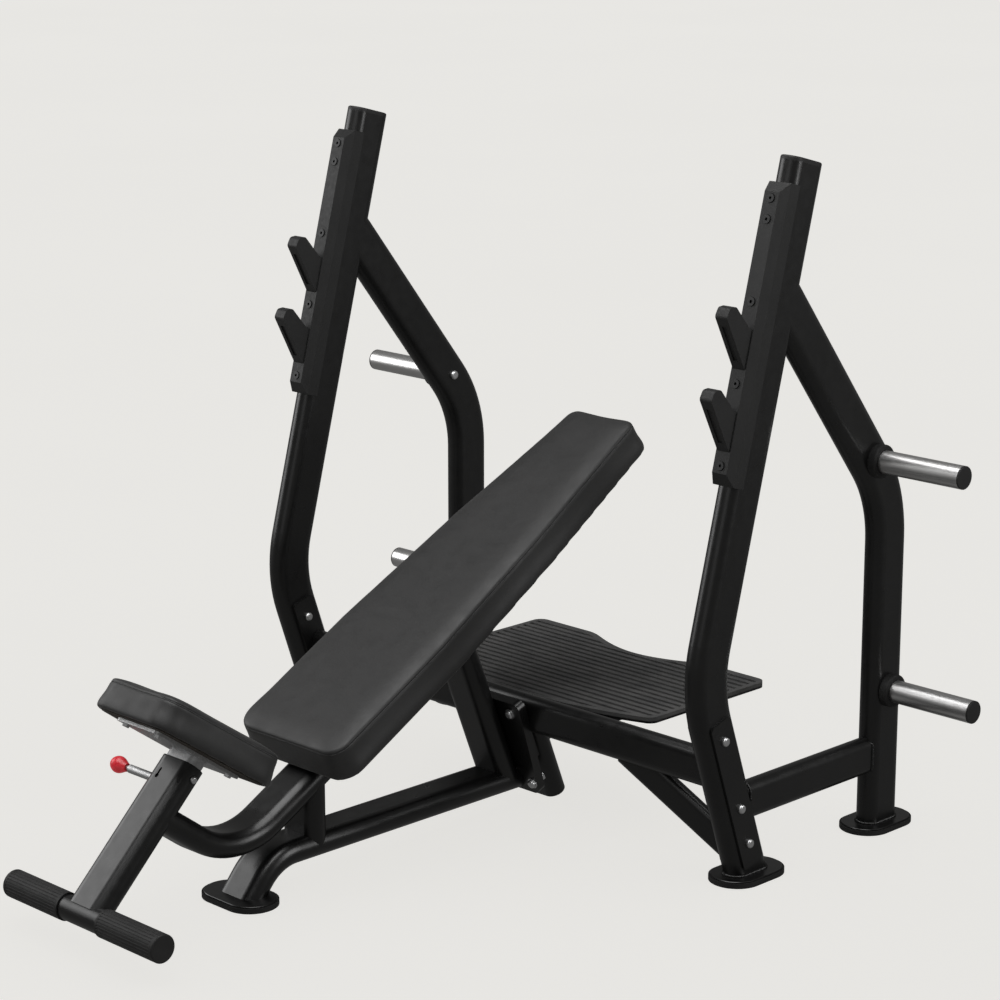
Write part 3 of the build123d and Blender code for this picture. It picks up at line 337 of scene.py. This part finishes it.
def studio_floor():
    """Pale backdrop lit from within, so that it stays even round the bench."""
    paper = Finish("backdrop_paper", grey(0.45), 0.9, specular=0.0)
    tone = paper.noise(0.4, detail=3.0)
    low = tuple(0.993 * c for c in FLOOR_COLOUR)
    glow = paper.tint(tone, (0.3, low), (0.7, FLOOR_COLOUR))
    paper.join(glow, paper.shader.inputs["Emission Color"])
    paper.shader.inputs["Emission Strength"].default_value = FLOOR_GLOW
    paper.colour(paper.tint(tone, (0.3, grey(0.44)), (0.7, grey(0.46))))
    return paper.material


MATERIALS = {
    "frame_coat": powder_coat(),
    "black_plastic": moulded_plastic("moulded_plastic", 0.009, 0.50, 1500),
    "collar_rubber": rubber("collar_rubber", 0.006, 0.62),
    "foot_rubber": rubber("foot_rubber", 0.007, 0.70),
    "grip_rubber": rubber("grip_rubber", 0.010, 0.55, 2200),
    "mat_rubber": rubber("mat_rubber", 0.045, 0.62, 1100),
    "horn_steel": turned_steel(),
    "bolt_steel": plated("bolt_steel", 0.66, 0.30, 900),
    "guard_screw": plated("blackened_screw", 0.05, 0.42, 900),
    "zinc": plated("zinc_plate", 0.56, 0.44, 260),
    "plywood": stained_ply(),
    "vinyl": vinyl(),
    "knob_red": red_plastic(),
}
THREAD = thread()


def paint_frame():
    """Each CAD piece's slots take the finish that the record names."""
    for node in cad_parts.values():
        for place in node.material_slots:
            name = place.material.name.split(".")[0]
            place.material = MATERIALS[name]


# --- shared mesh code -----------------------------------------------------------------


def new_piece(name, vertices, faces, material, smooth=True):
    """A mesh object linked to the scene, painted with one material."""
    mesh = bpy.data.meshes.new(name)
    mesh.from_pydata([tuple(v) for v in vertices], [], faces)
    mesh.update()
    mesh.materials.append(material)
    mesh.polygons.foreach_set("use_smooth", [smooth] * len(mesh.polygons))
    piece = bpy.data.objects.new(name, mesh)
    bpy.context.scene.collection.objects.link(piece)
    return piece


def make_active(piece):
    bpy.ops.object.select_all(action="DESELECT")
    piece.select_set(True)
    bpy.context.view_layer.objects.active = piece


def evened(loop, step):
    """The same closed loop with points about a step apart."""
    path = [Vector(p) for p in loop] + [Vector(loop[0])]
    lengths = [0.0]
    for a, b in zip(path, path[1:]):
        lengths.append(lengths[-1] + (b - a).length)
    count = max(8, int(lengths[-1] / step))
    wanted = np.linspace(0, lengths[-1], count, endpoint=False)
    return [
        Vector(np.interp(t, lengths, [p[i] for p in path]) for i in range(3))
        for t in wanted
    ]


def bead_along(name, loop, radius, material, sides, ripple, waves):
    """A round bead along a closed loop, its radius swelling and sinking in waves."""
    vertices = []
    count = len(loop)
    across = Vector((0, 0, 1))
    for i, point in enumerate(loop):
        ahead = (loop[(i + 1) % count] - loop[i - 1]).normalized()
        across = across - ahead * across.dot(ahead)
        if across.length < NEARLY_ZERO:
            across = ahead.orthogonal()
        across.normalize()
        side = ahead.cross(across)
        swell = radius * (1 + ripple * math.sin(waves * i))
        for k in range(sides):
            turn = math.tau * k / sides
            vertices.append(point + swell * (math.cos(turn) * across + math.sin(turn) * side))
    faces = []
    for i in range(count):
        j = (i + 1) % count
        for k in range(sides):
            m = (k + 1) % sides
            faces.append((i * sides + k, i * sides + m, j * sides + m, j * sides + k))
    return new_piece(name, vertices, faces, material)


def outline_at(node, point, normal):
    """The longest closed outline where a plane cuts a piece's mesh."""
    cut = bmesh.new()
    cut.from_mesh(node.data)
    bmesh.ops.remove_doubles(cut, verts=cut.verts, dist=MERGE_GAP)
    geometry = cut.verts[:] + cut.edges[:] + cut.faces[:]
    result = bmesh.ops.bisect_plane(cut, geom=geometry, plane_co=point, plane_no=normal)
    edges = [e for e in result["geom_cut"] if isinstance(e, bmesh.types.BMEdge)]
    links = {}
    for edge in edges:
        for vert in edge.verts:
            links.setdefault(vert, []).append(edge.other_vert(vert))
    loops = []
    unseen = dict.fromkeys(links)
    while unseen:
        start = next(iter(unseen))
        del unseen[start]
        loop = [start]
        step = links[start][0]
        while step in unseen:
            del unseen[step]
            loop.append(step)
            ahead = [v for v in links[step] if v in unseen]
            if not ahead:
                break
            step = ahead[0]
        loops.append([v.co.copy() for v in loop])
    cut.free()
    return max(loops, key=loop_length)


def loop_length(loop):
    return sum((b - a).length for a, b in zip(loop, loop[1:] + loop[:1]))


# --- pads -----------------------------------------------------------------------------


def swollen(cover, held_below):
    """Cloth pressure swells the cover above its board, and the result is kept on the mesh."""
    mesh = cover.data
    count = len(mesh.vertices)
    start = np.empty(count * 3)
    mesh.vertices.foreach_get("co", start)
    start = start.reshape(-1, 3)
    pinned = cover.vertex_groups.new(name="held")
    held = [int(i) for i in np.nonzero(start[:, 2] < held_below)[0]]
    pinned.add(held, 1.0, "REPLACE")
    cloth = cover.modifiers.new("cover_pressure", "CLOTH")
    settings = cloth.settings
    settings.quality = 5
    settings.mass = 0.35
    settings.tension_stiffness = 22
    settings.compression_stiffness = 22
    settings.shear_stiffness = 8
    settings.bending_stiffness = 1.2
    settings.use_pressure = True
    settings.uniform_pressure_force = COVER_PRESSURE
    settings.vertex_group_mass = "held"
    settings.effector_weights.gravity = 0
    cloth.collision_settings.use_self_collision = False
    cloth.collision_settings.use_collision = False
    scene = bpy.context.scene
    for number in range(1, COVER_FRAMES + 1):
        scene.frame_set(number)
    shown = cover.evaluated_get(bpy.context.evaluated_depsgraph_get())
    moved = np.empty(count * 3)
    shown.data.vertices.foreach_get("co", moved)
    cover.modifiers.remove(cloth)
    scene.frame_set(1)
    facing = np.empty(count * 3)
    mesh.vertices.foreach_get("normal", facing)
    facing = facing.reshape(-1, 3)
    swell = ((moved.reshape(-1, 3) - start) * facing).sum(axis=1)
    swell = firmed(mesh, COVER_CAP * np.tanh(swell / COVER_CAP), start[:, 2] < held_below)
    mesh.vertices.foreach_set("co", (start + facing * swell[:, None]).ravel())
    mesh.update()


def firmed(mesh, swell, held):
    """The swelling with its wrinkles evened out, as foam under a tight cover does."""
    ends = np.empty(len(mesh.edges) * 2, int)
    mesh.edges.foreach_get("vertices", ends)
    first, second = ends[0::2], ends[1::2]
    count = len(swell)
    neighbours = np.bincount(ends, minlength=count)
    for _ in range(FOAM_EVENING):
        near = np.bincount(first, swell[second], count) + np.bincount(second, swell[first], count)
        swell = 0.5 * swell + 0.5 * near / neighbours
        swell[held] = 0.0
    return swell


def apply_modifier(piece, kind, **settings):
    modifier = piece.modifiers.new(kind.lower(), kind)
    for name, value in settings.items():
        setattr(modifier, name, value)
    make_active(piece)
    bpy.ops.object.modifier_apply(modifier=modifier.name)


def cover_for(name, node_name, normal, board_depth, body):
    """A stuffed cover grown from the pad's CAD solid, flat underneath where it grips its board."""
    across = Vector((1, 0, 0))
    up_the_pad = normal.cross(across)
    turn = Matrix((across, up_the_pad, normal)).to_4x4()
    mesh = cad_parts[node_name].data.copy()
    mesh.transform(turn)
    cover = bpy.data.objects.new(name, mesh)
    bpy.context.scene.collection.objects.link(cover)
    bottom = min(v.co.z for v in mesh.vertices)
    top = max(v.co.z for v in mesh.vertices)
    held_below = bottom + board_depth + COVER_GRIP
    apply_modifier(cover, "REMESH", mode="VOXEL", voxel_size=COVER_VOXEL)
    mesh = cover.data
    for vertex, facing in [(v, v.normal.copy()) for v in mesh.vertices]:
        free = (vertex.co.z - held_below) / COVER_FADE
        vertex.co -= facing * COVER_SHRINK * min(max(free, 0.0), 1.0)
    mesh.update()
    swollen(cover, held_below)
    apply_modifier(cover, "SMOOTH", factor=0.5, iterations=COVER_SMOOTHING)
    apply_modifier(cover, "SUBSURF", levels=1)
    cover.vertex_groups.clear()
    mesh = cover.data
    mesh.materials.clear()
    mesh.materials.append(MATERIALS["vinyl"])
    mesh.polygons.foreach_set("use_smooth", [True] * len(mesh.polygons))
    seam = add_seam(cover, name, top - SEAM_DROP)
    for piece in (cover, seam):
        piece.data.transform(turn.inverted())
        piece.data.update()
        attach(piece, body)
    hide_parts(node_name)


def add_seam(cover, name, level):
    """A folded seam round the cover just under its rounded top edge, lying in a shallow gutter."""
    up = Vector((0, 0, 1))
    path = evened(outline_at(cover, up * level, up), SEAM_STEP)
    count = len(path)
    for _ in range(SEAM_EVENING):
        path = [(path[i - 1] + 2 * path[i] + path[(i + 1) % count]) / 4 for i in range(count)]
    mesh = cover.data
    for vertex in mesh.vertices:
        gap = abs(vertex.co.z - level) / SEAM_GUTTER
        if gap < 1:
            vertex.co -= vertex.normal * SEAM_DEPTH * (1 - gap)
    mesh.update()
    tree = BVHTree.FromObject(cover, bpy.context.evaluated_depsgraph_get())
    seated = []
    for point in path:
        near, facing, _, _ = tree.find_nearest(point)
        seated.append(near + facing * SEAM_PROUD)
    return bead_along(
        name + "_seam", seated, SEAM_RADIUS, THREAD, SEAM_SIDES, SEAM_RIPPLE, SEAM_WAVES
    )


# --- welds ----------------------------------------------------------------------------


def weld(name, node_name, point, normal):
    """A rippled bead round a tube where it meets a plate or another tube."""
    outline = outline_at(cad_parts[node_name], Vector(point), Vector(normal))
    path = evened(outline, WELD_STEP)
    waves = math.tau * WELD_STEP / WELD_PITCH
    coat = MATERIALS["frame_coat"]
    bead = bead_along(name, path, WELD_RADIUS, coat, WELD_SIDES, WELD_RIPPLE, waves)
    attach(bead, "frame")


def add_welds():
    """Beads at the side frames' feet and where each side tube meets its posts."""
    for side in ("left", "right"):
        plate_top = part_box(f"{side}_foot_plates")[1].z
        above = (0, 0, plate_top + FOOT_WELD_LIFT)
        weld(f"{side}_upright_weld", f"{side}_upright", above, (0, 0, 1))
        weld(f"{side}_rear_post_weld", f"{side}_rear_post", above, (0, 0, 1))
        low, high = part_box(f"{side}_side_tube")
        ends = (
            ("front", low.y + FRONT_WELD_INSET),
            ("rear", high.y - REAR_WELD_INSET),
        )
        for end, y in ends:
            weld(f"{side}_side_tube_{end}_weld", f"{side}_side_tube", (0, y, 0), (0, 1, 0))


# --- studio ---------------------------------------------------------------------------


def add_floor():
    half = FLOOR_HALF
    corners = [(-half, -half, 0), (half, -half, 0), (half, half, 0), (-half, half, 0)]
    floor = new_piece("studio_floor", corners, [(0, 1, 2, 3)], studio_floor(), smooth=False)
    floor.visible_glossy = False
    return floor


def add_light(name, place, size, power, unlit):
    """A soft rectangular light aimed at the bench, which leaves the unlit piece as it is."""
    data = bpy.data.lights.new(name, "AREA")
    data.shape = "RECTANGLE"
    data.size, data.size_y = size
    data.energy = power
    light = bpy.data.objects.new(name, data)
    bpy.context.scene.collection.objects.link(light)
    light.location = place
    light.rotation_mode = "QUATERNION"
    light.rotation_quaternion = (Vector(place) - Vector(LIGHT_AIM)).to_track_quat("Z", "Y")
    lit = bpy.data.collections.new(name + "_receivers")
    lit.objects.link(unlit)
    lit.collection_objects[0].light_linking.link_state = "EXCLUDE"
    light.light_linking.receiver_collection = lit


def add_world():
    world = bpy.data.worlds.new("studio_air")
    world.use_nodes = True
    backdrop = world.node_tree.nodes["Background"]
    backdrop.inputs["Color"].default_value = WORLD_COLOUR
    backdrop.inputs["Strength"].default_value = WORLD_STRENGTH
    bpy.context.scene.world = world


def keep_plain_colours():
    """Colours are shown as the materials and lights give them, with no film-like curve."""
    bpy.context.scene.view_settings.view_transform = "Standard"


def add_camera():
    data = bpy.data.cameras.new("photo_camera")
    data.sensor_width = SENSOR_WIDTH
    data.lens = CAMERA_LENS
    data.clip_start = CLIP_NEAR
    data.clip_end = CLIP_FAR
    data.dof.use_dof = False
    camera = bpy.data.objects.new("photo_camera", data)
    bpy.context.scene.collection.objects.link(camera)
    camera.location = CAMERA_PLACE
    camera.rotation_euler = (math.radians(90 - CAMERA_ELEVATION), 0, math.radians(CAMERA_AZIMUTH))
    bpy.context.scene.camera = camera


paint_frame()
add_camera()
add_world()
keep_plain_colours()
floor = add_floor()
for light in LIGHTS:
    add_light(*light, floor)
cover_for("back_cover", "back_pad", BACK_NORMAL, BACK_BOARD_DEPTH, "frame")
cover_for("seat_cover", "seat_pad", SEAT_NORMAL, SEAT_BOARD_DEPTH, "seat")
add_welds()

bpy.context.view_layer.update()
